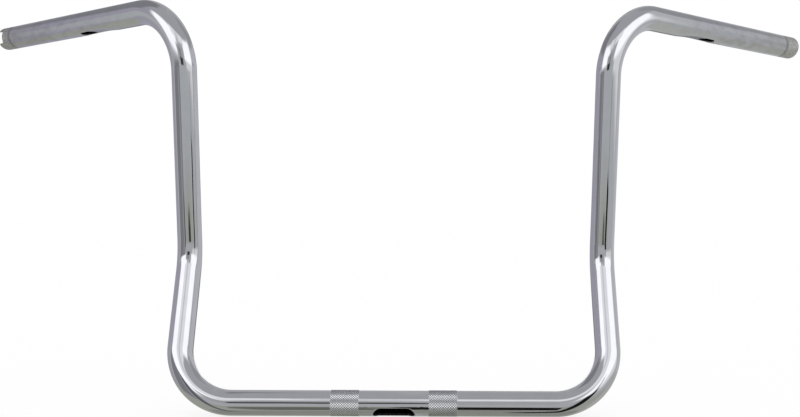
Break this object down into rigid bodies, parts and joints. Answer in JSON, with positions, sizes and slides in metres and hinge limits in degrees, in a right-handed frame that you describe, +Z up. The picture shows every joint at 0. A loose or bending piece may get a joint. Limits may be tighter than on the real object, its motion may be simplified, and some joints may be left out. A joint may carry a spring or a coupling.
{
  "type": "motorcycle handlebar",
  "caption": "Tall motorcycle handlebar bent from one chromed steel tube, with knurled clamp bands, a wire slot, dimpled wire holes and bare grip ends.",
  "frame": {"origin": "middle of the level clamp tube, on its axis", "axes": "+X towards the rider's left, along the clamp tube; +Y towards the rider; +Z up"},
  "size_m": [0.9453, 0.222, 0.4155],
  "materials": {
    "chrome_plate": "bright chrome plate on steel tube"
  },
  "bodies": {
    "root": {"handlebar": "chrome_plate"}
  },
  "joints": []
}
